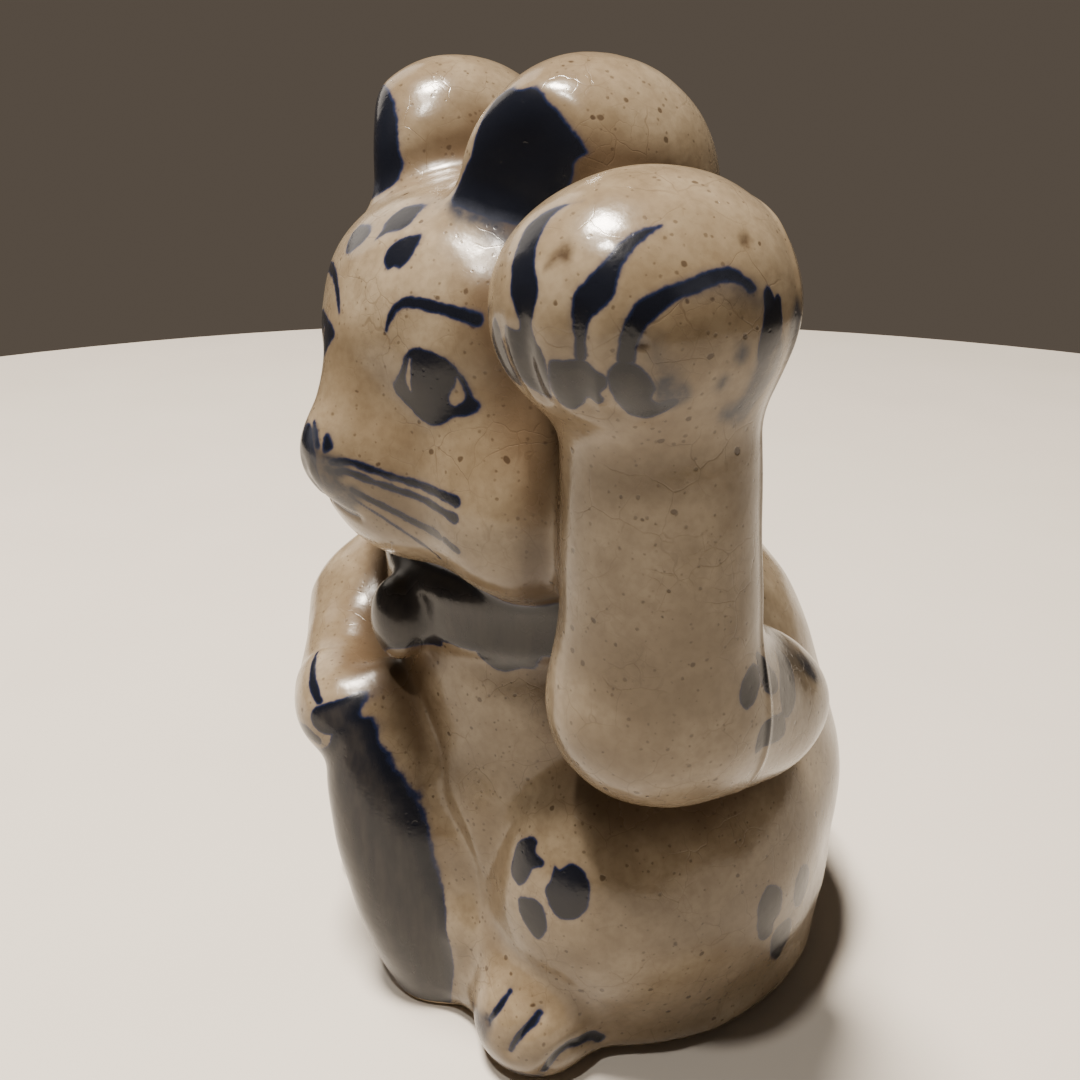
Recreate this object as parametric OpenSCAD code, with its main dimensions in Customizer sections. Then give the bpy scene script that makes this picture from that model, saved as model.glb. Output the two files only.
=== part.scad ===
// Beckoning cat figurine in crackle-glazed stoneware.
// Every piece is a press-moulded or modelled clay piece, luted to its neighbours with slip.
// Frame: +Z up, the cat looks along -Y, its left side is +X. The origin is on the
// underside of the base slab, on the body's upright axis. Sizes are in millimetres.

/* [Body] */
// Width of the body at its base
base_w = 86; // [82:1:90]
// Depth of the body at its base
base_d = 80; // [76:1:84]
// Width of the belly
belly_w = 88; // [82:1:94]
// Depth of the belly
belly_d = 82; // [76:1:88]
// Height of the belly's widest level above the table
belly_z = 31; // [28:1:34]
// Fired thickness of the clay walls
wall = 4.5; // [3.5:0.5:5.5]

/* [Head] */
// Width of the skull
head_w = 62; // [58:1:66]
// Depth of the skull without the muzzle
head_d = 56; // [52:1:60]
// Height of the skull's centre above the table
head_z = 106; // [104:1:108]
// Height of the tops of the ears above the table
ear_top = 150; // [147:1:153]
// Width of an ear, side to side
ear_w = 28; // [24:1:30]

/* [Raised arm] */
// Radius of the raised forearm below the wrist
forearm_r = 13.5; // [12:0.5:15]
// Radius of the wrist
wrist_r = 12; // [11:0.5:13]
// Width of the raised paw, side to side
paw_w = 32; // [29:1:34]
// Height of the raised paw
paw_h = 31; // [28:1:34]

/* [Details] */
// Half width of the oval coin held against the belly
koban_r = 11.8; // [10.8:0.2:12.8]
// Half length of the oval coin
koban_half = 37; // [35:1:39]
// Height of the collar band
collar_h = 8.4; // [7:0.2:10]
// Radius of a hind foot
foot_r = 10; // [9:0.5:11]
// Thickness of the base slab
slab_t = 4; // [3:0.5:5]
// Diameter of the vent hole that lets steam out of the hollow body in the kiln
vent_d = 10; // [6:1:14]

/* [Hidden] */

outer_fn = 28;          // facets round an outer form
inner_fn = 16;          // facets round a cavity
seam_y = -10;           // the two halves of each mould part on this upright plane
far = 400;              // larger than the whole figure
base_round = 6;         // rounding of the base's lower edge
base_h = 22;            // height of the base's upright side
slab_margin = 5;        // the slab lies this far inside the wall's inner face
slab_step = 7.5;        // degrees between the corners of the slab's outline
lute_gap = 0.02;        // film of slip between two pieces

base_centre = [1, 2, 0];
belly_centre = [0, 5, belly_z];
chest_centre = [0, -5, 60];
back_centre = [0, 6, 55];
neck_centre = [0, -4, 76];
head_centre = [1.5, -13.5, head_z];
face_shift = 1.5;       // the hand-modelled face sits this far to the cat's left on the skull
paw_centre = [44.3, -21.7, 122.5];
elbow_centre = [42.5, -8, 65.5];
wrist = [44, -19, 112];
forearm_foot = [45, -18, 71];
ear_yaw = 28.4;         // the ears' flat fronts turn outwards by this angle
ear_front = 32.3;       // distance of an ear's front face from the body's axis
collar_centre = [0, -6, 73.5];
collar_r = [29, 27];
collar_t = 3;
collar_tilt = 6;      // the collar lies lower in front
vent_y = 14;            // the vent hole lies behind the body's axis

clay = "#b8a98a";
cobalt = "#20242f";
bare_clay = "#c9b79a";

// ---- shapes --------------------------------------------------------------------

// An ellipsoid. grow makes it larger all round, or smaller where it's negative.
module ball(centre, radii, turn = [0, 0, 0], grow = 0, fn = outer_fn) {
    translate(centre) rotate(turn) hull() scale(radii + [grow, grow, grow]) sphere(r = 1, $fn = fn);
}

// A limb with round ends, from a to b.
module limb(a, a_r, b, b_r, grow = 0, fn = outer_fn) {
    hull() {
        translate(a) sphere(r = a_r + grow, $fn = fn);
        translate(b) sphere(r = b_r + grow, $fn = fn);
    }
}

// The body's low upright drum with rounded edges.
module puck(centre, w, d, h, edge, grow = 0, fn = outer_fn) {
    translate(centre) hull() for (a = [0 : 30 : 90], low = [true, false]) {
        inward = edge * (1 - cos(a));
        rise = edge * (1 - sin(a));
        z = low ? rise - grow : h - rise + grow;
        translate([0, 0, z]) scale([w / 2 - inward + grow, d / 2 - inward + grow, 1])
            cylinder(r = 1, h = 0.01, $fn = fn);
    }
}

module above_table(z = 0) {
    translate([-far / 2, -far / 2, z]) cube(far);
}

module before_seam() {
    translate([-far / 2, seam_y - far, -far / 2]) cube(far);
}

module mirrored(side) {
    mirror([side < 0 ? 1 : 0, 0, 0]) children();
}

// ---- outer forms, each solid clay. grow below 0 gives the cavity inside ----------

module torso_form(grow = 0, fn = outer_fn) {
    puck(base_centre, base_w, base_d, base_h, base_round, grow, fn);
    ball(belly_centre, [belly_w / 2, belly_d / 2, 38], grow = grow, fn = fn);
    ball(back_centre, [34.5, 32.5, 27], grow = grow, fn = fn);
    ball(chest_centre, [27, 27, 21], grow = grow, fn = fn);
    ball(neck_centre, [26.5, 26, 13], [collar_tilt, 0, 0], grow, fn);
}

module head_form(grow = 0, fn = outer_fn) {
    ball(head_centre, [head_w / 2, head_d / 2, 28], grow = grow, fn = fn);
    ball(head_centre + [face_shift, -9, 11], [24, 19.5, 16], grow = grow, fn = fn);
    for (side = [-1, 1])
        ball(head_centre + [face_shift + 17 * side, -9.5, -14], [15, 15, 15], grow = grow, fn = fn);
    ball(head_centre + [face_shift, -22.7, -9.5], [11, 12, 9], grow = grow, fn = fn);
    ball(head_centre + [face_shift, -17.7, -16.2], [14, 12, 10], grow = grow, fn = fn);
}

module nose_form() {
    limb(head_centre + [face_shift, -24, 6], 5, head_centre + [face_shift, -28, -4], 4.5, fn = inner_fn);
    ball(head_centre + [face_shift, -31.1, -8.4], [4, 4, 4.4], fn = inner_fn);
}

module ear_form(side, grow = 0, fn = outer_fn) {
    mirrored(side) difference() {
        ball([18.5, -12, ear_top - 18], [ear_w / 2, 19, 18], grow = grow, fn = fn);
        rotate([0, 0, ear_yaw]) translate([-far / 2, -ear_front - grow - far, 0]) cube(far);
    }
}

module raised_arm_form(grow = 0, fn = outer_fn) {
    ball(elbow_centre, [13, 21.5, 12.5], [-15, 0, 0], grow, fn);
    limb(forearm_foot, forearm_r, wrist, wrist_r, grow, fn);
}

module raised_paw_form(grow = 0, fn = outer_fn) {
    ball(paw_centre, [paw_w / 2, 19, paw_h / 2], grow = grow, fn = fn);
}

module resting_arm_form(grow = 0, fn = outer_fn) {
    ball([-30, -12, 57], [14, 20, 18], grow = grow, fn = fn);
    limb([-31, -26, 54], 12, [-16, -38, 49], 8.5, grow, fn);
}

module resting_paw_form() {
    ball([-9, -41, 49], [9, 8, 8.5], fn = 20);
}

module koban_form() {
    ball([1.5, -31, 22], [koban_r, 15.5, koban_half], [10, -12, 0], fn = outer_fn);
}

module haunch_form(side, grow = 0, fn = outer_fn) {
    ball([27 * side, -2, 27.5], [20.5, 29.5, 28], grow = grow, fn = fn);
}

module foot_form(side) {
    limb([22 * side, -17, 9], foot_r, [28.5 * side, -27, 8], foot_r, fn = 20);
}

module tail_form() {
    limb([-4, 40, 13], 7.5, [6, 44, 23], 6.5, fn = inner_fn);
}

module collar_form() {
    translate(collar_centre) rotate([collar_tilt, 0, 0]) difference() {
        hull() translate([0, 0, -collar_h / 2]) scale([collar_r[0], collar_r[1], 1])
            cylinder(r = 1, h = collar_h, $fn = 32);
        hull() translate([0, 0, -collar_h]) scale([collar_r[0] - collar_t, collar_r[1] - collar_t, 1])
            cylinder(r = 1, h = 2 * collar_h, $fn = 32);
    }
}

module bell_form() {
    ball([0, -35.5, 67.5], [5, 3.5, 6.6], fn = inner_fn);
}

module slab_form(grow = 0) {
    inset = wall + slab_margin;
    rx = base_w / 2 - inset + grow;
    ry = base_d / 2 - inset + grow;
    translate([base_centre[0], base_centre[1], 0]) linear_extrude(slab_t)
        polygon([for (a = [0 : slab_step : 360 - slab_step]) [rx * cos(a), ry * sin(a)]]);
}

// The one hollow that runs through the body, head, ears and raised arm.
module cavity() {
    intersection() {
        above_table(slab_t + lute_gap);
        union() {
            torso_form(-wall, inner_fn);
            translate([0, 0, -wall]) puck(base_centre, base_w, base_d, base_h, base_round, -wall, inner_fn);
            head_form(-wall, inner_fn);
            raised_arm_form(-wall, inner_fn);
            raised_paw_form(-wall, inner_fn);
            resting_arm_form(-wall, inner_fn);
            for (side = [-1, 1]) {
                ear_form(side, -wall, inner_fn);
                haunch_form(side, -wall, inner_fn);
            }
        }
    }
}

// A clay piece: its form above the table, less the hollow, the base slab and the pieces set into it.
module piece(colour, in_front = false, behind = false) {
    color(colour) difference() {
        intersection() {
            children(0);
            above_table();
            if (in_front) before_seam();
        }
        cavity();
        slab_form(lute_gap);
        if (behind) before_seam();
        for (i = [1 : 1 : $children - 1]) children(i);
    }
}

// ---- pieces ------------------------------------------------------------------------

module set_into_torso() {
    head_form();
    raised_arm_form();
    resting_arm_form();
    collar_form();
    bell_form();
    koban_form();
    resting_paw_form();
    for (side = [-1, 1]) haunch_form(side);
}

module torso_front() piece(clay, in_front = true) { torso_form(); set_into_torso(); }
module torso_back() piece(clay, behind = true) { torso_form(); set_into_torso(); }

module set_into_head() {
    for (side = [-1, 1]) ear_form(side);
    raised_paw_form();
    raised_arm_form();
    collar_form();
    bell_form();
}

module head_front() piece(clay, in_front = true) { union() { head_form(); nose_form(); } set_into_head(); }
module head_back() piece(clay, behind = true) { head_form(); set_into_head(); }

module left_ear() piece(clay) { ear_form(1); raised_paw_form(); }
module right_ear() piece(clay) ear_form(-1);

module set_into_arm() {
    raised_paw_form();
    collar_form();
}

module raised_arm_front() piece(clay, in_front = true) { raised_arm_form(); set_into_arm(); }
module raised_arm_back() piece(clay, behind = true) { raised_arm_form(); set_into_arm(); }
module raised_paw_front() piece(clay, in_front = true) raised_paw_form();
module raised_paw_back() piece(clay, behind = true) raised_paw_form();

module resting_arm() piece(clay) {
    resting_arm_form();
    union() { resting_paw_form(); koban_form(); }
    union() { collar_form(); bell_form(); }
    union() { head_form(); haunch_form(-1); }
}

module resting_paw() piece(clay) resting_paw_form();
module koban() piece(cobalt) { koban_form(); resting_paw_form(); }
module collar() piece(cobalt) { collar_form(); bell_form(); }
module bell() piece(cobalt) bell_form();

module haunch(side) piece(clay) {
    haunch_form(side);
    foot_form(side);
    koban_form();
    raised_arm_form();
}

module left_haunch() haunch(1);
module right_haunch() haunch(-1);

module foot(side) piece(clay) { foot_form(side); torso_form(); koban_form(); }
module left_foot() foot(1);
module right_foot() foot(-1);

module tail() piece(clay) { tail_form(); torso_form(); }

module base_slab() {
    color(bare_clay) difference() {
        slab_form();
        translate([0, vent_y, -1]) cylinder(d = vent_d, h = slab_t + 2, $fn = 48);
    }
}

torso_front();
torso_back();
head_front();
head_back();
left_ear();
right_ear();
raised_arm_front();
raised_arm_back();
raised_paw_front();
raised_paw_back();
resting_arm();
resting_paw();
koban();
collar();
bell();
left_haunch();
right_haunch();
left_foot();
right_foot();
tail();
base_slab();
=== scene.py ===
"""Looks of the beckoning cat figurine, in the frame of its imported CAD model.

The glazed skin is one distance field: the rounded clay forms of the CAD parts, blended with the soft
fillets that slip and glaze leave between them. It is meshed once, cut along the lines where the pieces
are luted together, and each piece gets an inner wall. Brush strokes are stored on the skin as distances
to their edges, and the glaze material turns those into cobalt with feathered, uneven borders.
Lengths are in millimetres until the meshes are made. +Z is up, the cat looks along -Y.
"""

import math

import bpy
import numpy as np
import openvdb
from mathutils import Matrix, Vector


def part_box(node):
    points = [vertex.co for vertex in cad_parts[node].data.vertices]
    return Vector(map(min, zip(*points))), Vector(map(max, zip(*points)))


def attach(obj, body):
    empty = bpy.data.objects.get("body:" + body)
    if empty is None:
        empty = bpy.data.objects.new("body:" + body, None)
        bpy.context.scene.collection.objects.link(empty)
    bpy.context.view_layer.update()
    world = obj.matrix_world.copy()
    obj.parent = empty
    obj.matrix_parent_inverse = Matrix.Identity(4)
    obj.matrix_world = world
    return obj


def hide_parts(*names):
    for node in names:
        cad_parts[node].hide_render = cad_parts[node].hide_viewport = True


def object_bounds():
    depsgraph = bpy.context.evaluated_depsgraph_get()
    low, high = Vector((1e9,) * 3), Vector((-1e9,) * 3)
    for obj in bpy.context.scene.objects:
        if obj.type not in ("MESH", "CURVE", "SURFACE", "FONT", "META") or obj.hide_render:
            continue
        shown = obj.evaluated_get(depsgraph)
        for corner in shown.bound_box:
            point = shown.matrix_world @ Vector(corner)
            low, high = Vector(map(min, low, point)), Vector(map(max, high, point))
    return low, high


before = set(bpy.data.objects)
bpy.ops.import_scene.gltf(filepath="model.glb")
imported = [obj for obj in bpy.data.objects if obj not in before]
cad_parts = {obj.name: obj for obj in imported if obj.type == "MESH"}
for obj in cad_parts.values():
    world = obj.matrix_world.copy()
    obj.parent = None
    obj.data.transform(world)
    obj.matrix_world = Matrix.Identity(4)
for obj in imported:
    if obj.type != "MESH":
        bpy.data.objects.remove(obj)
CAD_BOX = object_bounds()
MM = 0.001

# ---- sizes, in millimetres ----

GRID = 0.8               # spacing of the grid that the skin is meshed on
COARSE = 4               # the grid is first sampled at this many times its spacing
LUTE = 4.5               # radius of the fillets where clay forms meet
SEAM_Y = -10             # the halves of the moulds part on this upright plane
SLAB_FILM = 0.05         # glaze-free film round the base slab
SKIN_WALL = 2.6          # thickness of the clay that the meshes show

# ---- distance fields ----


def turned(rx=0, ry=0, rz=0):
    """Rotation matrix: about X, then Y, then Z, in degrees."""
    angles = [math.radians(angle) for angle in (rx, ry, rz)]
    (cx, sx), (cy, sy), (cz, sz) = [(math.cos(angle), math.sin(angle)) for angle in angles]
    about_x = np.array([[1, 0, 0], [0, cx, -sx], [0, sx, cx]])
    about_y = np.array([[cy, 0, sy], [0, 1, 0], [-sy, 0, cy]])
    about_z = np.array([[cz, -sz, 0], [sz, cz, 0], [0, 0, 1]])
    return about_z @ about_y @ about_x


def ball(p, centre, radii, turn=(0, 0, 0)):
    """Distance to an ellipsoid, near enough to its surface."""
    q = p - np.array(centre, np.float32)
    if any(turn):
        q = q @ turned(*turn).astype(np.float32)
    radii = np.array(radii, np.float32)
    scaled = q / radii
    near = np.sqrt((scaled ** 2).sum(-1))
    slope = np.sqrt(((scaled / radii) ** 2).sum(-1))
    return near * (near - 1) / np.maximum(slope, 1e-6)


def limb(p, a, a_radius, b, b_radius):
    """Distance to a tapering rod with round ends."""
    a, b = np.array(a, np.float32), np.array(b, np.float32)
    along = np.clip((p - a) @ (b - a) / ((b - a) @ (b - a)), 0, 1)
    axis = a + along[..., None] * (b - a)
    return np.sqrt(((p - axis) ** 2).sum(-1)) - (a_radius + (b_radius - a_radius) * along)


def drum(p, centre, width, depth, height, edge):
    """Distance to an upright oval drum with rounded edges."""
    q = p - np.array(centre, np.float32)
    rx, ry = width / 2, depth / 2
    out = (np.hypot(q[..., 0] / rx, q[..., 1] / ry) - 1) * min(rx, ry) + edge
    up = np.abs(q[..., 2] - height / 2) - height / 2 + edge
    return np.minimum(np.maximum(out, up), 0) + np.hypot(np.maximum(out, 0), np.maximum(up, 0)) - edge


def band(p, centre, radii, thickness, height, edge, tilt):
    """Distance to an oval ring with rounded edges."""
    q = (p - np.array(centre, np.float32)) @ turned(tilt).astype(np.float32)
    mean = sum(radii) / 2
    out = (np.hypot(q[..., 0] / radii[0], q[..., 1] / radii[1]) - 1) * mean + thickness / 2
    out = np.abs(out) - thickness / 2 + edge
    up = np.abs(q[..., 2]) - height / 2 + edge
    return np.minimum(np.maximum(out, up), 0) + np.hypot(np.maximum(out, 0), np.maximum(up, 0)) - edge


def blend(a, b, radius):
    """Union with a fillet."""
    share = np.clip(0.5 + 0.5 * (b - a) / radius, 0, 1)
    return b * (1 - share) + a * share - radius * share * (1 - share)


def trim(a, b, radius):
    """What lies in both, with a rounded edge."""
    return -blend(-a, -b, radius)


# ---- the clay forms, the same as the CAD's ----

HEAD = np.array([1.5, -13.5, 106])
FACE_X = HEAD[0] + 1.5                       # the modelled face's midline
EAR_YAW = 28.4                               # the ears' flat fronts turn outwards by this angle
EAR_FRONT = 32.3                             # distance of an ear's front face from the body's axis
PAW = np.array([44.3, -21.7, 122.5])
ELBOW = np.array([42.5, -8, 65.5])
FOREARM = [(45, -18, 71), (44, -19, 112)]
HAUNCH = np.array([27, -2, 27.5])
FOOT = [(22, -17, 9), (28.5, -27, 8)]
KOBAN = np.array([1.5, -31, 22])
KOBAN_TURN = (10, -12, 0)
COLLAR = np.array([0, -6, 73.5])


def torso(p):
    d = drum(p, (1, 2, 0), 86, 80, 22, 6)
    d = blend(d, ball(p, (0, 5, 31), (44, 41, 38)), 8)
    d = blend(d, ball(p, (0, 6, 55), (34.5, 32.5, 27)), 10)
    d = blend(d, ball(p, (0, -5, 60), (27, 27, 21)), 8)
    return blend(d, ball(p, (0, -4, 76), (26.5, 26, 13), (5, 0, 0)), 6)


def head(p):
    d = ball(p, HEAD, (31, 28, 28))
    d = blend(d, ball(p, (FACE_X, -22.5, 117), (24, 19.5, 16)), 6)
    for side in (-1, 1):
        d = blend(d, ball(p, (FACE_X + 17 * side, -23, 92), (15, 15, 15)), 8)
    d = blend(d, ball(p, (FACE_X, -36.2, 96.5), (11, 12, 9)), 7)
    d = blend(d, ball(p, (FACE_X, -31.2, 89.8), (14, 12, 10)), 6)
    d = blend(d, limb(p, (FACE_X, -37.5, 112), 5, (FACE_X, -41.5, 102), 4.5), 6)
    return blend(d, ball(p, (FACE_X, -44.6, 97.6), (4, 4, 4.4)), 4)


def ear(p, side):
    d = ball(p, (18.5 * side, -12, 132), (14, 19, 18))
    outward = np.array([math.sin(math.radians(EAR_YAW)) * side, -math.cos(math.radians(EAR_YAW)), 0])
    return trim(d, p @ outward.astype(np.float32) - EAR_FRONT, 2.5)


def raised_arm(p):
    d = blend(ball(p, ELBOW, (13, 21.5, 12.5), (-15, 0, 0)), limb(p, FOREARM[0], 13.5, FOREARM[1], 12), 9)
    return blend(d, ball(p, (31, -9, 80), (5, 8, 7)), 5)


def raised_paw(p):
    return ball(p, PAW, (16, 19, 15.5))


def haunch(p, side):
    return ball(p, HAUNCH * (side, 1, 1), (20.5, 29.5, 28))


def foot(p, side):
    return limb(p, np.array(FOOT[0]) * (side, 1, 1), 10, np.array(FOOT[1]) * (side, 1, 1), 10)


def resting_arm(p):
    return blend(ball(p, (-30, -12, 57), (14, 20, 18)), limb(p, (-31, -26, 54), 12, (-16, -38, 49), 8.5), 6)


def resting_paw(p):
    return ball(p, (-9, -41, 49), (9, 8, 8.5))


def koban(p):
    return ball(p, KOBAN, (11.8, 15.5, 37), KOBAN_TURN)


def collar(p):
    return band(p, COLLAR, (29, 27), 3, 8.4, 1.4, 6)


def bell(p):
    return ball(p, (0, -35.5, 67.5), (5, 3.5, 6.6))


def tail(p):
    return limb(p, (-4, 40, 13), 7.5, (6, 44, 23), 6.5)


FORMS = {
    "torso": torso, "head": head,
    "left_ear": lambda p: ear(p, 1), "right_ear": lambda p: ear(p, -1),
    "raised_arm": raised_arm, "raised_paw": raised_paw,
    "left_haunch": lambda p: haunch(p, 1), "right_haunch": lambda p: haunch(p, -1),
    "left_foot": lambda p: foot(p, 1), "right_foot": lambda p: foot(p, -1),
    "resting_arm": resting_arm, "resting_paw": resting_paw, "tail": tail,
    "koban": koban, "collar": collar, "bell": bell,
}
# Fillets of their own: wider round the collar, sharper round the rest.
LUTES = {"collar": 6, "bell": 3.5, "koban": 2.5, "left_haunch": 2.5, "right_haunch": 2.5}
HALVED = ("torso", "head", "raised_arm", "raised_paw")     # moulded as a front and a back half


def skin(p):
    """Distance to the whole glazed figure, which stands on z = 0."""
    p = np.asarray(p, np.float32)
    d = torso(p)
    for name, form in FORMS.items():
        if name != "torso":
            d = blend(d, form(p), LUTES.get(name, LUTE))
    return trim(d, -p[..., 2], 1.6)


def slope(field, p, step=0.15):
    """Gradient of a field by central differences."""
    out = np.empty(p.shape, np.float32)
    for axis in range(3):
        shift = np.zeros(3, np.float32)
        shift[axis] = step
        out[:, axis] = (field(p + shift) - field(p - shift)) / (2 * step)
    return out


def unit(v):
    """Vectors scaled to length 1."""
    return v / np.maximum(np.linalg.norm(v, axis=-1, keepdims=True), 1e-9)


def settle(field, p, rounds=3):
    """Moves points onto the surface where the field is zero."""
    for _ in range(rounds):
        g = slope(field, p)
        p = p - g * (field(p) / np.maximum((g ** 2).sum(-1), 0.2))[:, None]
    return p


# ---- meshing ----


def mesh_of(field, low, high, step):
    """Points and triangles of the surface where the field is zero inside the box."""
    low, high = np.array(low, float), np.array(high, float)
    blocks = np.ceil((high - low) / (step * COARSE)).astype(int)
    width = step * COARSE
    corners = np.stack(np.meshgrid(*[np.arange(n) for n in blocks], indexing="ij"), -1) * width + low
    rough = field((corners + width / 2).reshape(-1, 3)).reshape(blocks)
    values = rough.astype(np.float32)
    for axis in range(3):
        values = np.repeat(values, COARSE, axis)
    near = np.argwhere(np.abs(rough) < width * 1.6)
    inside = np.stack(np.meshgrid(*[np.arange(COARSE)] * 3, indexing="ij"), -1).reshape(-1, 3)
    cells = (near[:, None] * COARSE + inside).reshape(-1, 3)
    values[tuple(cells.T)] = field(cells * step + low + step / 2)
    grid = openvdb.FloatGrid(float(width * 4))
    grid.copyFromArray(values)
    points, triangles, quads = grid.convertToPolygons(isovalue=0.0, adaptivity=0.0)
    points = points.astype(np.float64) * step + low + step / 2
    quads = np.asarray(quads, np.int64).reshape(-1, 4)
    first, second = [np.linalg.norm(points[quads[:, k]] - points[quads[:, k + 2]], axis=1) for k in (0, 1)]
    ways = quads[:, [0, 1, 2, 0, 2, 3]], quads[:, [1, 2, 3, 1, 3, 0]]
    halves = np.where((first < second)[:, None], *ways).reshape(-1, 3)
    return points, np.vstack([np.asarray(triangles, np.int64).reshape(-1, 3), halves])


def relaxed(field, points, triangles, rounds=3):
    """Evens out the triangles: each point moves towards its neighbours' mean, along the surface."""
    pairs = np.vstack([triangles[:, [0, 1]], triangles[:, [1, 2]], triangles[:, [2, 0]]])
    count = np.bincount(pairs[:, 0], minlength=len(points))
    for _ in range(rounds):
        sums = [np.bincount(pairs[:, 0], points[pairs[:, 1], k], len(points)) for k in range(3)]
        mean = np.stack(sums, 1)
        mean /= np.maximum(count, 1)[:, None]
        points = settle(field, (points + 0.5 * (mean - points)).astype(np.float32), 1).astype(np.float64)
    return points


def cut(points, triangles, level):
    """Splits triangles on the line where level is zero.

    Returns the points, the triangles with level below zero, the others, and how each new point lies
    between two old ones (first, second, share).
    """
    level = np.where(np.abs(level) < 1e-5, 1e-5, level)
    below = level < 0
    count = below[triangles].sum(1)
    crossing = triangles[(count == 1) | (count == 2)]
    lone_below = below[crossing].sum(1) == 1
    lone = np.argmax(below[crossing] == lone_below[:, None], axis=1)
    order = (lone[:, None] + np.arange(3)) % 3
    a, b, c = np.take_along_axis(crossing, order, 1).T
    edges = np.sort(np.vstack([np.stack([a, b], 1), np.stack([a, c], 1)]), 1)
    unique, index = np.unique(edges, axis=0, return_inverse=True)
    index = index.reshape(-1)
    first, second = unique.T
    share = level[first] / (level[first] - level[second])
    new = points[first] + (points[second] - points[first]) * share[:, None]
    ab, ac = (index + len(points)).reshape(2, -1)
    tip = np.stack([a, ab, ac], 1)
    rest = np.vstack([np.stack([ab, b, c], 1), np.stack([ab, c, ac], 1)])
    twice = np.concatenate([lone_below, lone_below])
    inside = np.vstack([triangles[count == 3], tip[lone_below], rest[~twice]])
    outside = np.vstack([triangles[count == 0], tip[~lone_below], rest[twice]])
    return np.vstack([points, new]), inside, outside, (first, second, share)


def between(values, cuts):
    """Carries values at points over to the points that a cut added."""
    first, second, share = cuts
    if values.ndim > 1:
        share = share[:, None]
    return np.concatenate([values, values[first] + (values[second] - values[first]) * share])


def finer(points, triangles, marked):
    """Halves every edge that is marked at both ends."""
    edges = np.sort(np.vstack([triangles[:, [0, 1]], triangles[:, [1, 2]], triangles[:, [2, 0]]]), 1)
    unique, index = np.unique(edges, axis=0, return_inverse=True)
    index = index.reshape(-1)
    split = marked[unique].all(1)
    number = np.where(split, np.cumsum(split) - 1 + len(points), -1)
    mid = number[index].reshape(3, -1).T
    points = np.vstack([points, points[unique[split]].mean(1)])
    parts = [triangles[(mid < 0).all(1)]]
    whole = (mid >= 0).all(1)
    (a, b, c), (d, e, f) = triangles[whole].T, mid[whole].T
    parts += [np.stack(t, 1) for t in ((a, d, f), (d, b, e), (f, e, c), (d, e, f))]
    for k in range(3):
        turn = [k, (k + 1) % 3, (k + 2) % 3]
        one = (mid[:, turn[0]] >= 0) & (mid[:, turn[1]] < 0) & (mid[:, turn[2]] < 0)
        (a, b, c), d = triangles[one][:, turn].T, mid[one, turn[0]]
        parts += [np.stack(t, 1) for t in ((a, d, c), (d, b, c))]
        two = (mid[:, turn[0]] >= 0) & (mid[:, turn[1]] >= 0) & (mid[:, turn[2]] < 0)
        (a, b, c), d, e = triangles[two][:, turn].T, mid[two, turn[0]], mid[two, turn[1]]
        parts += [np.stack(t, 1) for t in ((a, d, c), (d, e, c), (d, b, e))]
    return points, np.vstack(parts)


# ---- canvases: where a brush stroke lies on the skin ----


def cast(field, start, direction, steps=70):
    """Where rays from outside meet the surface, or come nearest to it."""
    p = start.astype(np.float32)
    best, nearest = p.copy(), np.full(len(p), np.inf, np.float32)
    for _ in range(steps):
        d = field(p)
        closer = np.abs(d) < nearest
        best[closer], nearest[closer] = p[closer], np.abs(d[closer])
        p = p + direction * (0.85 * d)[:, None]
    return settle(field, best, 1)


def on_face(u, v):
    """From the front: u to the cat's left, v up from the table."""
    start = np.stack([u, np.full_like(u, -75), v], 1)
    return start, np.array([0, 1, 0], np.float32)


def around(centre, reach):
    """Round a form's centre, in degrees: u turns from straight ahead to the cat's left, v upwards."""
    def canvas(u, v):
        u, v = np.radians(u), np.radians(v)
        out = np.stack([np.sin(u) * np.cos(v), -np.cos(u) * np.cos(v), np.sin(v)], 1)
        return centre + out * reach, -out
    return canvas


def smooth_path(points, closed=False, parts=14):
    """Points along a smooth curve through the given ones, that many to each stretch."""
    points = np.array(points, float)
    if closed:
        before, after = points[-1], points[:2]
    else:
        before, after = 2 * points[0] - points[1], 2 * points[-1] - points[-2]
    ends = np.vstack([before, points, after])
    out = []
    for a, b, c, d in zip(ends, ends[1:], ends[2:], ends[3:]):
        for t in np.arange(parts) / parts:
            square = (2 * a - 5 * b + 4 * c - d) * t ** 2
            cube = (3 * b - a - 3 * c + d) * t ** 3
            out.append((2 * b + (c - a) * t + square + cube) / 2)
    return np.vstack(out if closed else out + [points[-1]])


PAW_CANVAS = around(PAW, 34)
ELBOW_CANVAS = around(ELBOW, 40)
HAUNCH_CANVAS = around(HAUNCH, 42)
FOOT_MIDDLE = (np.array(FOOT[0]) + np.array(FOOT[1])) / 2
FOOT_CANVAS = around(FOOT_MIDDLE, 26)

# ---- brush marks ----
# A stroke is (u, v, half width in mm) along its length. An area is the (u, v) corners of its outline.

# On the head, the chest and the coin, as seen from the front.
FOREHEAD_PETALS = [
    [(-0.2, 124.3), (-2, 125.4), (-2.9, 126.6), (-2.2, 127.7), (0.4, 128.2), (2.8, 127.7), (3.3, 126.5),
     (2, 125.2)],
    [(8.1, 131.1), (5.8, 130.9), (4.7, 129.9), (4.8, 128.8), (5.8, 127.7), (5.8, 126.6), (7, 127.6),
     (8.9, 128.1), (9.5, 129.2)],
    [(12.9, 128), (11.3, 127.7), (10, 127), (9.5, 125.6), (9.9, 124.3), (11.2, 123.6),
     (12.2, 124), (13.2, 123.9), (13.7, 125), (13.7, 126.4)],
]
LEFT_BROW = [
    (13.3, 116.2, 0.3), (13.7, 117.6, 0.45), (14.5, 119.2, 0.65), (16, 120.1, 0.75),
    (18.8, 120, 0.85), (21.6, 119.4, 0.85), (23.9, 118.6, 1)
]
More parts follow.
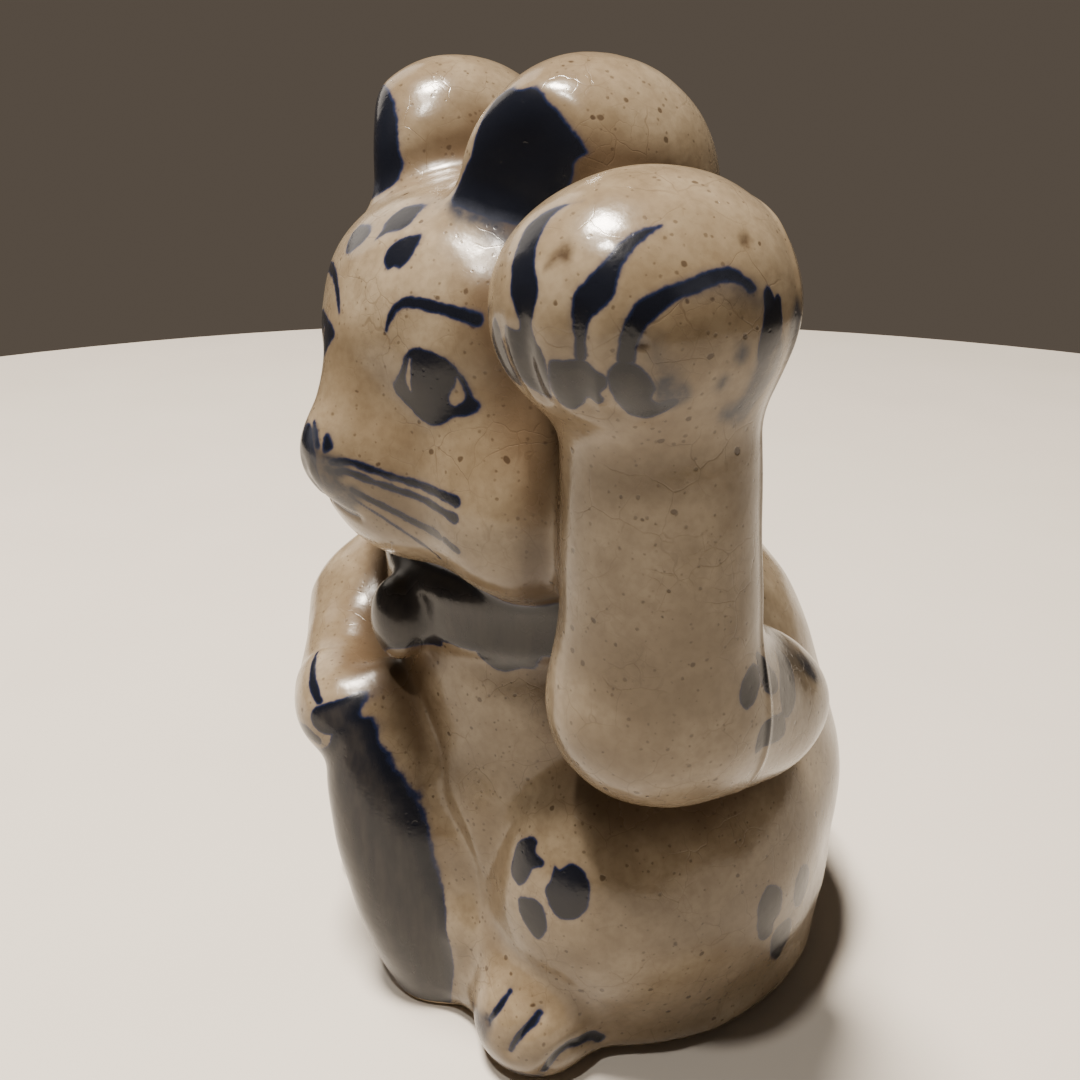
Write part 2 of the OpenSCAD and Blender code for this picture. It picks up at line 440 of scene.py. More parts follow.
RIGHT_BROW = [
    (3.8, 117.3, 0.25), (2.6, 118.7, 0.4), (0.9, 120, 0.6), (-2.2, 121.3, 0.8), (-6, 121.7, 0.9),
    (-10, 121, 0.9), (-14, 119.4, 1)
]
LEFT_EYE = [
    (13.5, 108.9), (14.6, 110.4), (15.6, 111.8), (16.2, 113.4), (17.4, 114.5), (19.6, 114.5),
    (21.6, 113.5), (22.8, 111.8), (24, 109.2), (24.9, 107.5), (23.8, 106.3), (22.3, 105.9),
    (21.2, 104.9), (19.6, 104.3), (17.6, 104.8), (15.8, 106.4), (14.2, 107.7)
]
RIGHT_EYE = [
    (3.8, 114.4), (1.8, 112.2), (-1.6, 109), (-4.8, 106.6), (-8.4, 105.9), (-11.4, 107.6),
    (-11.8, 110.8), (-9.4, 114.2), (-4.4, 116.2), (1.2, 115.8)
]
EYE_GLINTS = [
    [(16.9, 112.8, 0.12), (16.6, 111.4, 0.3), (16.4, 110.2, 0.32), (16.5, 108.9, 0.12)],
    [(22.4, 111, 0.12), (22.5, 110, 0.45), (22.4, 108.9, 0.85), (22.1, 108.3, 0.8)],
    [(-1, 114.4, 0.12), (-1.6, 113.4, 0.3), (-2.2, 112.4, 0.3), (-2.6, 111.2, 0.12)],
    [(-7.8, 112.4, 0.12), (-8.4, 111.4, 0.45), (-8.9, 110.3, 0.8), (-9, 109.8, 0.7)],
]
LEFT_WHISKERS = [
    [(8.2, 97.8, 0.52), (10.2, 98.1, 0.57), (12.8, 97.2, 0.57), (16.1, 96.3, 0.62), (21, 95.8, 0.72),
     (24.7, 95.3, 0.92)],
    [(8.7, 96.5, 0.52), (10, 96.7, 0.52), (12.8, 95.6, 0.52), (16.1, 94.6, 0.54), (21.1, 93.7, 0.62),
     (24.6, 93, 0.82)],
    [(10, 94, 0.52), (12.8, 92.3, 0.54), (16.2, 90.6, 0.57), (18.3, 89.9, 0.72), (21, 89.3, 0.77)],
    [(22.2, 89, 0.62), (24.4, 88.2, 0.62)],
]
FAINT_WHISKER = [(9.6, 92.6, 0.2), (13.3, 89.6, 0.3), (16.1, 87, 0.32), (18.3, 84.9, 0.35)]
MUZZLE_AREA = [
    (6.6, 98.8), (8.8, 98.9), (10, 97.4), (9.2, 95.6), (9.2, 94.9), (10.4, 94.8), (11, 93.4),
    (9.8, 91.6), (7.9, 90.8), (6.5, 91.6), (6.6, 94.4), (6.4, 96.6)
]
NOSE_AREA = [
    (1.4, 101.3), (3, 102.3), (4.6, 101.3), (5.8, 98.8), (6, 96), (5.2, 93.2), (3, 92.4),
    (0.8, 93.2), (0, 96), (0.2, 98.8)
]
NOSTRIL = [(6.7, 100.6), (6.8, 101.6), (7.5, 101.3), (8.2, 100), (7.8, 99.5), (7.2, 99)]
NOSE_MARKS = [
    [(4, 102.6, 0.3), (5.4, 101.4, 0.4), (6.1, 99.9, 0.5)],
]
NOSE_WASH = [
    [(4.6, 101.5, 1), (6, 98.2, 1.2), (6.6, 96.9, 1.4), (6.6, 94.1, 1.6), (6.6, 92, 1.3)],
    [(3, 92, 1.2), (5, 91, 1.4), (8, 90.6, 1.2)],
]
MOUTH = [(8.4, 89.2, 0.25), (6.4, 89.6, 0.35), (3, 90.8, 0.35), (-0.4, 89.6, 0.35), (-2.4, 89.2, 0.25)]
NOSE_MIDLINE = 3.0

LEFT_EAR_FACE = [
    (12.5, 131.9), (13.1, 134.5), (14.5, 137), (15.4, 140.5), (16.5, 144.6), (18, 145.8),
    (20.5, 145.6), (22.4, 145.8), (25.2, 143.7), (27.8, 140.9), (29.5, 138.6), (28.4, 137.4),
    (27.6, 134), (25, 130.6), (21.5, 129.6), (16.5, 130.8)
]
RIGHT_EAR_FACE = [
    (-20.9, 145.6), (-17, 145.2), (-13.6, 143.3), (-11.5, 140.3), (-10.2, 137.2), (-9.3, 134),
    (-9.8, 131.6), (-14, 129.8), (-20, 129.8), (-26, 132.6), (-29.2, 138), (-26, 142.8)
]
EAR_WASH = [
    (12.2, 131.6), (14.8, 132), (18.5, 131), (22.5, 130), (24, 128), (21, 127.2),
    (18.2, 129), (15.4, 129.6)
]

# Round the middle of the raised paw, of the elbow and of a haunch.
FINGER_AREAS = [
    [(15, 47), (6, 44), (-2, 40), (-6, 35), (-6, 29), (-3, 22), (0, 15), (3, 9), (6, 3), (6, -1), (0, -1),
     (-2, -7), (-1, -16), (1, -24), (8, -29), (14, -27), (17, -20), (18, -13), (17, -8), (14, -3),
     (13, 2), (15, 9), (14, 15), (11, 20), (8, 27), (6, 34), (6, 40), (9, 44)],
    [(60, 41), (54, 40), (48, 38), (42, 33), (38, 27), (34, 21), (31, 17), (28, 13), (28, 6), (29, -2),
     (29, -10), (33, -9), (33, -3), (34, 3), (38, 8), (42, 13), (43, 19), (45, 25), (49, 31), (54, 36)],
    [(20, -10), (23, -9), (28, -9), (32, -9), (35, -11), (39, -15), (40, -19), (37, -23), (38, -26),
     (35, -28), (31, -26), (27, -30), (22, -32), (18, -28), (17, -22), (18, -14)],
    [(66, 19), (59, 17), (52, 13), (48, 9), (45, 3), (44, -3), (44, -10), (50, -10), (51, -3), (54, 3),
     (59, 8), (66, 13), (71, 14), (77, 16), (84, 18), (91, 17), (97, 13), (101, 15), (95, 21), (88, 24),
     (80, 23), (72, 21)],
    [(105, 12), (109, 14), (112, 6), (112, -8), (108, -16), (103, -10), (104, 2)],
    [(40, -14), (43, -10), (47, -9), (52, -11), (56, -16), (58, -20), (57, -24), (60, -27), (65, -26),
     (68, -28), (64, -32), (58, -35), (51, -35), (45, -31), (41, -25)],
    [(115, 10), (109, 7), (105, 3), (105, -6), (107, -12), (112, -12), (117, -7), (117, 1)],
    [(-9, 0), (-6, -1), (-5, -8), (-6, -17), (-6, -25), (-10, -27), (-14, -22), (-14, -10)],
]
PALM_WASH_AREAS = [
    [(58, -15), (66, -15), (72, -21), (73, -27), (66, -31), (59, -28), (57, -22)],
    [(105, -8), (104, -18), (103, -30), (94, -33), (94, -39), (105, -42), (114, -40), (121, -30),
     (125, -22), (123, -13), (117, -6)],
    [(130, 6), (134, 0), (142, -9), (143, -20), (142, -32), (138, -32), (137, -22), (129, -13), (124, -5),
     (125, 2)],
    [(92, -5), (90, -10), (93, -14), (97, -13), (97, -7)],
    [(86, -18), (85, -23), (89, -25), (90, -19)],
]
PALM_HAZE = [
    [(68, 15, 1.2), (80, 17, 1.5), (94, 14, 1.8), (103, 9, 1.5)],
    [(56, -2, 1), (58, -10, 1.2), (64, -16, 1.5)],
]
ELBOW_AREAS = [
    [(71, 42), (66, 38), (64, 33), (64, 29), (67, 26), (71, 28), (74, 32), (76, 36), (75, 40)],
    [(73, 45), (79, 45), (87, 42), (95, 37), (94, 31), (87, 29), (80, 31), (77, 36)],
    [(116, 46), (127, 43), (131, 36), (123, 26), (115, 18), (106, 13), (98, 15), (95, 22), (96, 30),
     (105, 38)],
    [(97, 17), (100, 7), (98, 3), (90, 3), (81, 6), (75, 4), (74, 11), (77, 17), (83, 20), (89, 19)],
]
ELBOW_WASH = [(148, 30), (158, 24), (162, 14), (152, 8), (144, 14), (142, 24)]
KNEE_AREAS = [
    [(-1, 15), (-2, 19), (-2, 23), (0, 26), (3, 28), (6, 28), (7, 25), (11, 24), (11, 22), (8, 20),
     (7, 16), (5, 13), (2, 13)],
    [(15, 24), (17, 24), (20, 27), (23, 27), (26, 25), (28, 21), (28, 15), (26, 11), (22, 9), (19, 9),
     (16, 12), (14, 16), (15, 20)],
    [(5, 9), (8, 11), (12, 12), (15, 9), (16, 4), (14, -1), (11, -1), (8, 2), (6, 5)],
]
HIP_AREAS = [
    [(104, 12), (110, 10), (114, 3), (114, -5), (111, -10), (111, -16), (106, -18), (101, -12), (99, -3),
     (99, 5)],
    [(130, 8), (135, 2), (135, -5), (132, -11), (127, -11), (123, -5), (123, 3), (126, 7)],
    [(124, -15), (127, -22), (128, -31), (126, -37), (118, -32), (113, -23), (114, -16), (119, -14)],
]

# Round the middle of a foot.
TOES = [
    [(24, 31, 0.5), (22, 24, 0.6), (20, 18, 0.6), (17, 11, 0.5)],
    [(49, 24, 0.7), (45, 18, 0.7), (40, 12, 0.6), (36, 5, 0.55), (34, -1, 0.45)],
    [(97, -13, 0.8), (86, -3, 0.9), (76, -1, 0.8), (68, 1, 0.7), (60, -3, 0.65), (55, -12, 0.6),
     (53, -18, 0.5)],
]
TOE_WASH = [(-4, 4), (12, 12), (20, 10), (18, -2), (6, -14), (-6, -12)]
# Painted shade: a dark grey band along the underside of each foot, where it meets the floor.
TOE_SHADE = [(-8, 2, 0.7), (6, -8, 1), (20, -16, 1.1), (36, -20, 1), (50, -24, 0.7)]

# From the front again.
RESTING_CLAWS = [
    [(-16.5, 56.6, 0.3), (-12.5, 56, 0.6), (-8.2, 54.9, 0.9), (-5.6, 53.8, 0.7)],
    [(-14, 46.5, 0.8), (-11, 46.6, 1.2), (-7.4, 47.6, 1.3), (-5, 47.2, 0.9)],
]
COIN_EDGE = [
    (-30, 44.5), (-30, -3), (13, -3), (13.6, 0.5), (15.3, 4), (16.2, 9.5), (16.1, 14.7), (14.8, 20),
    (13.4, 24), (12.1, 28.1), (10.5, 34), (8.6, 39.1), (7.2, 42), (4.8, 46.2), (3.2, 48.6),
    (1.6, 51), (-2, 51), (-3, 47), (-9, 44.5)
]
COIN_TOP = [
    (-3.2, 54.4), (-2, 55.6), (-0.8, 54.7), (0, 52.6), (1.3, 51.8), (2.6, 49.6), (1.6, 47),
    (-0.8, 47.6), (-1.2, 49), (-4.2, 48.8), (-6, 50.6), (-5.6, 52.8)
]
BELL_AREA = [
    (-5.6, 73), (-6.4, 66), (-5.8, 60.4), (-4.6, 58.3), (-2.8, 58.9), (-1.6, 60.8), (0, 62.4),
    (2.6, 64), (6, 64.9), (9, 66.4), (8, 73)
]
BOW_AREA = [
    (14, 71), (15, 68), (15.6, 65.4), (17, 64), (18.8, 64.2), (20.2, 65), (21.6, 65.2),
    (22.6, 66.6), (24, 68.4), (25.2, 65), (26.2, 63), (27.2, 66), (27, 71)
]

# Round the middle of the raised paw again: a brown stain and pits in the glaze.
PAW_STAIN = [(20, 30), (23, 27), (24, 23), (20, 23), (16, 20), (17, 24), (19, 28)]
PAW_PITS = [
    [(21.5, 25, 0.45), (22, 24.4, 0.45)],
    [(52, -3, 0.4), (52.6, -3, 0.4)],
    [(103, 32, 0.5), (104, 33, 0.5)],
]

JAW_MARK = [(6.6, 75.3, 0.2), (8.4, 75.4, 0.45), (11.6, 75.5, 0.4), (13.6, 75.4, 0.15)]


def mirrored(strokes, midline=0.0):
    """The same marks on the other side of an upright line."""
    return [[(2 * midline - point[0], *point[1:]) for point in stroke] for stroke in strokes]


def across(canvas):
    """The same canvas on the other side of the figure."""
    def other(u, v):
        start, direction = canvas(u, v)
        flip = np.array([-1, 1, 1], np.float32)
        return start * flip, direction * flip
    return other


# ---- paint: how far each point of the skin lies from the paint's edge, below zero inside ----


def drawn(strokes, canvas):
    """Strokes laid on the skin: the points of each one there, and its third column."""
    paths = [smooth_path(stroke) for stroke in strokes]
    whole = np.vstack(paths)
    on_skin = cast(skin, *canvas(whole[:, 0], whole[:, 1]))
    ends = np.cumsum([len(path) for path in paths])[:-1]
    return list(zip(np.split(on_skin, ends), np.split(whole[:, 2], ends)))


def to_stroke(points, spine, widths, reach=7.0):
    """The points near a stroke, how far each is from its spine, and the stroke's width there."""
    near = np.flatnonzero(((points > spine.min(0) - reach) & (points < spine.max(0) + reach)).all(1))
    close = points[near]
    distance = np.full(len(near), 99.0, np.float32)
    width = np.zeros(len(near), np.float32)
    for centre, w in zip(spine, widths):
        d = np.linalg.norm(close - centre, axis=1)
        closer = d - w < distance - width
        distance[closer], width[closer] = d[closer], w
    return near, distance, width


def stroke_field(points, strokes):
    """Distance to the edges of strokes that are laid on the skin."""
    field = np.full(len(points), 6.0, np.float32)
    for spine, widths in strokes:
        near, distance, width = to_stroke(points, spine, widths)
        field[near] = np.minimum(field[near], distance - width)
    return field


def groove_field(points, strokes, width):
    """Depth of rounded grooves along strokes whose third column is a depth."""
    field = np.zeros(len(points), np.float32)
    for spine, depths in strokes:
        near, distance, depth = to_stroke(points, spine, depths, 7.0)
        field[near] = np.maximum(field[near], depth * np.exp(-(distance / width) ** 2))
    return field


def outline_field(u, v, corners):
    """Distance to a closed outline in a plane."""
    best = np.full(len(u), np.inf)
    inside = np.zeros(len(u), bool)
    for (au, av), (bu, bv) in zip(corners, np.roll(corners, -1, 0)):
        du, dv = bu - au, bv - av
        t = np.clip(((u - au) * du + (v - av) * dv) / (du * du + dv * dv), 0, 1)
        best = np.minimum(best, np.hypot(u - au - t * du, v - av - t * dv))
        crosses = (av > v) != (bv > v)
        inside ^= crosses & (u < au + (v - av) / (dv if dv else 1e-9) * du)
    return np.where(inside, -best, best)


def loops(areas, canvas):
    """Closed outlines laid on the skin."""
    paths = [smooth_path(area, closed=True, parts=6) for area in areas]
    whole = np.vstack(paths)
    on_skin = cast(skin, *canvas(whole[:, 0], whole[:, 1]))
    return np.split(on_skin, np.cumsum([len(path) for path in paths])[:-1])


def loop_field(points, outlines, reach=5.0):
    """Distance to the areas inside outlines on the skin, each measured in its own best plane."""
    field = np.full(len(points), 6.0, np.float32)
    for loop in outlines:
        middle = loop.mean(0)
        axes = np.linalg.svd(loop - middle)[2]
        near = np.flatnonzero(((points > loop.min(0) - reach) & (points < loop.max(0) + reach)).all(1))
        flat, edge = (points[near] - middle) @ axes.T, (loop - middle) @ axes.T
        depth = np.abs(flat[:, 2]) < np.abs(edge[:, 2]).max() + 4
        near, flat = near[depth], flat[depth]
        field[near] = np.minimum(field[near], outline_field(flat[:, 0], flat[:, 1], edge[:, :2]))
    return field


def both_sides(kind, marks, canvas):
    """Marks laid on a canvas and on its mirror image."""
    return kind(marks, canvas) + kind(marks, across(canvas))


print("laying the brush strokes")
ONE_SIDE = LEFT_WHISKERS + [FAINT_WHISKER]
BOTH_WHISKERS = ONE_SIDE + mirrored(ONE_SIDE, NOSE_MIDLINE)
BOTH_NOSTRILS = [NOSTRIL] + mirrored([NOSTRIL], NOSE_MIDLINE)
BOTH_MUZZLES = [MUZZLE_AREA] + mirrored([MUZZLE_AREA], NOSE_MIDLINE)
FACE_STROKES = [LEFT_BROW, RIGHT_BROW, JAW_MARK, MOUTH] + NOSE_MARKS + BOTH_WHISKERS
PAINT = drawn(FACE_STROKES + RESTING_CLAWS, on_face)
PAINT += both_sides(drawn, TOES, FOOT_CANVAS)
AREAS = loops(FINGER_AREAS, PAW_CANVAS) + loops(ELBOW_AREAS, ELBOW_CANVAS)
AREAS += both_sides(loops, KNEE_AREAS + HIP_AREAS, HAUNCH_CANVAS)
GLINTS = drawn(EYE_GLINTS, on_face)
WASH_AND_SHADE = drawn(NOSE_WASH + mirrored(NOSE_WASH, NOSE_MIDLINE), on_face)
# The toe band is painted shade under the feet; the other strokes are real washes.
WASH_AND_SHADE += both_sides(drawn, [TOE_SHADE], FOOT_CANVAS)
HAZE = drawn(PALM_HAZE, PAW_CANVAS)
WASH_AREAS = loops(PALM_WASH_AREAS, PAW_CANVAS) + loops([ELBOW_WASH], ELBOW_CANVAS)
WASH_AREAS += both_sides(loops, [TOE_WASH], FOOT_CANVAS)
STAINS = loops([PAW_STAIN], PAW_CANVAS)
PITS = drawn(PAW_PITS, PAW_CANVAS)


BACK_OF_FACE = -17


def front_field(p, areas):
    """Distance to areas outlined as seen from the front, on surfaces ahead of BACK_OF_FACE."""
    field = np.full(len(p), 6.0)
    x, y, z = p.T
    for area in areas:
        us, vs = zip(*area)
        mask = (y < BACK_OF_FACE) & (x > min(us) - 5) & (x < max(us) + 5)
        mask &= (z > min(vs) - 5) & (z < max(vs) + 5)
        corners = smooth_path(area, closed=True, parts=5)
        field[mask] = np.minimum(field[mask], outline_field(x[mask], z[mask], corners))
    return np.minimum(field, 6)


def ear_faces(p):
    """Distance to the painted flat fronts of the ears."""
    x, y, z = p.T
    ahead = math.sin(math.radians(EAR_YAW)) * np.abs(x) - math.cos(math.radians(EAR_YAW)) * y
    wrap = np.where(x > 0, 2.2, 5.5)
    return np.maximum(front_field(p, [LEFT_EAR_FACE, RIGHT_EAR_FACE]), EAR_FRONT - wrap - ahead)


def broad_areas(p):
    """Distance to the coin, the collar, the bell and the tail's tip, which are all painted over."""
    coin = np.maximum(koban(p) - 2.4, front_field(p, [COIN_EDGE]))
    coin = np.minimum(coin, front_field(p, [COIN_TOP]))
    upright = (p - COLLAR) @ turned(6)
    ring = np.abs(upright[:, 2] - 3.2) - 7.2
    clear = [1.0 - head(p), 0.3 - raised_arm(p), 0.6 - resting_arm(p)]
    ring = np.maximum.reduce([ring, collar(p) - 6.5, *clear])
    lobes = front_field(p, [BELL_AREA, BOW_AREA])
    tip = np.linalg.norm(p - (6, 46, 27), axis=1) - 9
    return np.minimum.reduce([coin, ring, lobes, tip])


def cobalt(p):
    """Distance to the nearest painted edge."""
    from_front = front_field(p, FOREHEAD_PETALS + [LEFT_EYE, RIGHT_EYE, NOSE_AREA] + BOTH_NOSTRILS)
    brushed = np.minimum(stroke_field(p, PAINT), loop_field(p, AREAS))
    field = np.minimum.reduce([brushed, from_front, ear_faces(p), broad_areas(p)])
    return np.maximum(field, -stroke_field(p, GLINTS))


def washes_and_shade(p):
    """How deep the greyish translucent wash is, and the painted shade under the feet, from 0 to 1."""
    from_front = front_field(p, BOTH_MUZZLES + [EAR_WASH] + mirrored([EAR_WASH]))
    thin = np.minimum.reduce([stroke_field(p, WASH_AND_SHADE), loop_field(p, WASH_AREAS), from_front])
    soft = np.minimum(stroke_field(p, HAZE) * 0.35 + 0.2, 1)
    return np.maximum(np.clip(0.5 - thin / 1.2, 0, 1), 0.75 * np.clip(-soft + 0.5, 0, 1))


def stains(p):
    """How deep the brown iron stains are, from 0 to 1."""
    blots = np.clip(0.5 - loop_field(p, STAINS) / 1.2, 0, 0.9)
    return np.maximum(blots, np.clip(0.5 - stroke_field(p, PITS), 0, 1))


# ---- relief: what stands proud of the plain forms, in millimetres ----

FINGER_GROOVES = drawn([
    [(7, 14, 0.1), (9, 0, 0.5), (8, -14, 0.7), (8, -27, 0.5)],
    [(30, 12, 0.1), (30, 0, 0.5), (30, -14, 0.6), (29, -29, 0.6)],
    [(47, 6, 0.1), (46, -8, 0.5), (42, -16, 0.4), (40, -30, 0.6)],
    [(-4, -4, 0.3), (-6, -14, 0.5), (-6, -26, 0.4)]], PAW_CANVAS)
TOE_GROOVES = both_sides(drawn, [[(u, v, 0.55) for u, v, _ in toe] for toe in TOES], FOOT_CANVAS)
BELLY_FOLD = [(8, 42, 0.2), (12, 37.5, 0.9), (16, 33, 1.1), (17.5, 26, 1.1), (19.5, 20, 0.9), (20, 13, 0.4)]
BELLY_FOLDS = drawn([BELLY_FOLD], on_face)
HAUNCH_FOLD = [(29, 54, 0.3), (23.5, 47, 0.9), (21.5, 39, 1.0), (20, 31, 0.8), (20.5, 23, 0.3)]
HAUNCH_FOLDS = both_sides(drawn, [HAUNCH_FOLD], on_face)
FACE_GROOVES = drawn([[(x, z, 0.35) for x, z, _ in MOUTH], [(3, 97, 0.2), (3, 90.6, 0.45)]], on_face)
EYE_CENTRES = ((18.9, 109.4), (-6.2, 111.8))


def relief(p):
    """Height above the plain forms: hand-made waviness, creases, eyeballs and the moulds' seam."""
    x, y, z = p.T
    out = 0.13 * np.sin(x * 0.21 + 1.3) * np.sin(z * 0.17 + 0.4) + 0.11 * np.sin(y * 0.24 + z * 0.11 + 2.1)
    out += 0.06 * np.sin(x * 0.47 - z * 0.39 + 0.7) * np.sin(y * 0.41 + 1.9)
    out -= groove_field(p, FINGER_GROOVES, 1.7) + groove_field(p, TOE_GROOVES, 1.3)
    out -= groove_field(p, FACE_GROOVES, 0.8) + groove_field(p, PITS, 0.5) * 0.6
    out -= groove_field(p, BELLY_FOLDS, 2.2) + groove_field(p, HAUNCH_FOLDS, 2.6)
    for centre_x, centre_z in EYE_CENTRES:
        eye = np.hypot((x - centre_x) / 6.2, (z - centre_z) / 5.6)
        out += np.where(y < -20, 0.55 * np.exp(-eye ** 2), 0)
    seam = np.exp(-((y - SEAM_Y) / 0.55) ** 2)
    on_arm = np.clip((x - 47) / 5, 0, 1) * np.clip(z / 10 - 5.5, 0, 1)
    return out + seam * (0.05 + 0.22 * on_arm)


# ---- the skin's mesh ----


def faces_out(points, triangles):
    """The triangles, turned over where needed so that they face outwards."""
    a, b, c = points[triangles].transpose(1, 0, 2)
    volume = (a * np.cross(b, c)).sum()
    return triangles if volume > 0 else triangles[:, ::-1]


def point_normals(points, triangles):
    """Outward directions at the points, from the triangles round them."""
    a, b, c = points[triangles].transpose(1, 0, 2)
    facing = np.cross(b - a, c - a)
    out = np.stack([sum(np.bincount(triangles[:, corner], facing[:, k], len(points)) for corner in range(3))
                    for k in range(3)], 1)
    return unit(out)


print("meshing the skin")
low, high = [np.array(corner) / MM for corner in CAD_BOX]
points, triangles = mesh_of(skin, low - 3, high + 3, GRID)
triangles = faces_out(points, triangles)
points = relaxed(skin, points, triangles)
for reach in (1.8, 0.75):
    p = points.astype(np.float32)
    seam_zone = (np.abs(p[:, 1] - SEAM_Y) < reach) & (p[:, 0] > 40) & (p[:, 2] > 55)
    marked = (np.abs(cobalt(p)) < reach) | seam_zone
    points, triangles = finer(points, triangles, marked)
    points = settle(skin, points.astype(np.float32), 2).astype(np.float64)
print("skin:", len(points), "points,", len(triangles), "triangles")

p = points.astype(np.float32)
out = unit(slope(skin, p))
paint = cobalt(p)
# Partly painted shade: how enclosed each point is, probed 3, 8 and 18 mm out. The glaze turns it to umber,
# partly for glaze pooled in creases and partly as painted shade in hollows and between parts.
hollow_shade = sum(np.clip(1 - skin(p + out * reach) / reach, 0, 1) for reach in (3, 8, 18)) / 3
fingertips = (raised_paw(p) < 4) & (p[:, 2] < PAW[2] - 4)
film = np.maximum(np.clip(0.5 - broad_areas(p), 0, 1), np.where(fingertips, 0.7, 0))
wash_and_shade = washes_and_shade(p)
stain = stains(p)
bare = np.clip((1.5 - p[:, 2]) / 0.6, 0, 1)
points = points + out * relief(p)[:, None] * np.clip(points[:, 2:] / 4, 0, 1)
normals = point_normals(points, triangles)

# How near each form is decides which piece a point belongs to.
nearness = np.stack([form(p) for form in FORMS.values()], 1)
values = np.column_stack([normals, paint, hollow_shade, film, wash_and_shade, stain, bare, nearness])
FACTS = ("cobalt", "pool_and_shade", "film", "wash_and_shade", "stain", "bare")
FIRST_FACT, FIRST_FORM = 3, 3 + len(FACTS)


def split(level_of, triangles):
    """Cuts the given triangles where the level is zero, and returns both sides."""
    global points, values
    level = level_of(points, values)
    points, inside, outside, cuts = cut(points, triangles, level)
    values = between(values, cuts)
    return inside, outside


def over_slab(points, _):
    """Below zero where the base slab shows instead of the skin."""
    (x0, y0, _), (x1, y1, _) = [np.array(corner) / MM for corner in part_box("base_slab")]
    rx, ry = (x1 - x0) / 2, (y1 - y0) / 2
    oval = np.hypot((points[:, 0] - (x0 + x1) / 2) / rx, (points[:, 1] - (y0 + y1) / 2) / ry) - 1
    return np.where(points[:, 2] < 1.0, oval * ry - SLAB_FILM, 9.0)


def mine(index):
    """Below zero where this form is nearer than all the forms after it."""
    def level(_, values):
        forms = values[:, FIRST_FORM:]
        return forms[:, index] - forms[:, index + 1:].min(1)
    return level


_, rest = split(over_slab, triangles)
patches = {}
for index, name in enumerate(list(FORMS)[:-1]):
    patches[name], rest = split(mine(index), rest)
patches[list(FORMS)[-1]] = rest
for name in HALVED:
    front, back = split(lambda points, _: points[:, 1] - SEAM_Y, patches.pop(name))
    patches[name + "_front"], patches[name + "_back"] = front, back

# ---- pieces: each patch of skin gets an inner wall and a rim ----

# Pieces that are too slight for the full wall.
THIN = {"collar": 1.0, "bell": 1.2, "resting_paw": 2.0}


def shell(name, patch, thickness, material):
    """A closed piece: a patch of the skin, its inner wall and the rim between them."""
    used, patch = np.unique(patch, return_inverse=True)
    patch = patch.reshape(-1, 3)
    count = len(used)
    outward = unit(values[used, :3])
    shape = np.vstack([points[used], points[used] - outward * thickness])
    edges = np.vstack([patch[:, [0, 1]], patch[:, [1, 2]], patch[:, [2, 0]]])
    open_edges = edges[~np.isin(edges @ [count, 1], edges @ [1, count])]
    a, b = open_edges.T
    rim = np.vstack([np.stack([b, a, a + count], 1), np.stack([b, a + count, b + count], 1)])
    faces = np.vstack([patch, patch[:, ::-1] + count, rim])
    mesh = bpy.data.meshes.new(name)
    mesh.vertices.add(len(shape))
    mesh.vertices.foreach_set("co", (shape * MM).astype(np.float32).ravel())
    mesh.loops.add(faces.size)
    mesh.loops.foreach_set("vertex_index", faces.astype(np.int32).ravel())
    mesh.polygons.add(len(faces))
    mesh.polygons.foreach_set("loop_start", np.arange(0, faces.size, 3, dtype=np.int32))
    mesh.update(calc_edges=True)
    mesh.shade_smooth()
    for k, fact in enumerate(FACTS):
        layer = mesh.attributes.new(fact, "FLOAT", "POINT")
        layer.data.foreach_set("value", np.tile(values[used, FIRST_FACT + k], 2).astype(np.float32))
    mesh.normals_split_custom_set_from_vertices(np.vstack([outward, -outward]).tolist())
    piece = bpy.data.objects.new(name, mesh)
    bpy.context.collection.objects.link(piece)
    mesh.materials.append(material)
    return piece


# ---- materials ----


